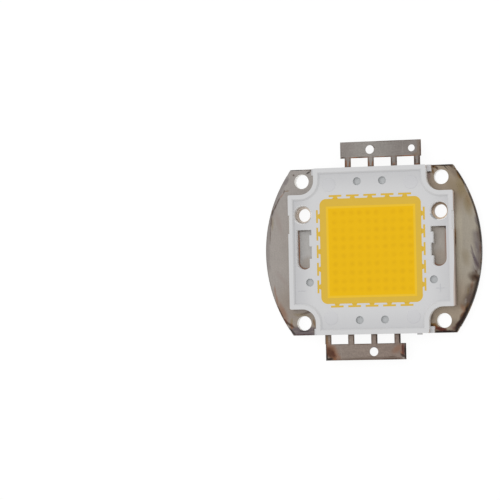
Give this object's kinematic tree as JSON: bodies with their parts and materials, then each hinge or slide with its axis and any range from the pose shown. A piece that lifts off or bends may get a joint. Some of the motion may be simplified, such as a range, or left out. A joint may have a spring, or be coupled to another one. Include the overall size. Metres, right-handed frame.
{
  "type": "high-power led chip",
  "caption": "Flat LED array under amber gel in a white moulded frame, on a round-sided metal base plate with screw holes and two comb-shaped solder leads.",
  "frame": {"origin": "centre of the base plate's back face", "axes": "+Z out of the front, the way the light leaves; +Y towards the positive lead, the one with two holes; +X towards the side marked with a plus sign"},
  "size_m": [0.0524, 0.0522, 0.0044],
  "materials": {
    "base_metal": "dull grey plating on copper, with brown heat stains at the edges",
    "lead_metal": "dull plated copper sheet, brown at the sheared edges",
    "frame_plastic": "satin white moulding",
    "gel": "opaque amber silicone with phosphor",
    "die": "polished semiconductor",
    "wire": "bright gold"
  },
  "bodies": {
    "root": {"base_plate": "base_metal", "frame": "frame_plastic", "lead_positive": "lead_metal", "lead_negative": "lead_metal", "phosphor_gel": "gel", "die_string_01": "die", "die_string_02": "die", "die_string_03": "die", "die_string_04": "die", "die_string_05": "die", "die_string_06": "die", "die_string_07": "die", "die_string_08": "die", "die_string_09": "die", "die_string_10": "die", "bond_wires_01": "wire", "bond_wires_02": "wire", "bond_wires_03": "wire", "bond_wires_04": "wire", "bond_wires_05": "wire", "bond_wires_06": "wire", "bond_wires_07": "wire", "bond_wires_08": "wire", "bond_wires_09": "wire", "bond_wires_10": "wire"}
  },
  "joints": []
}
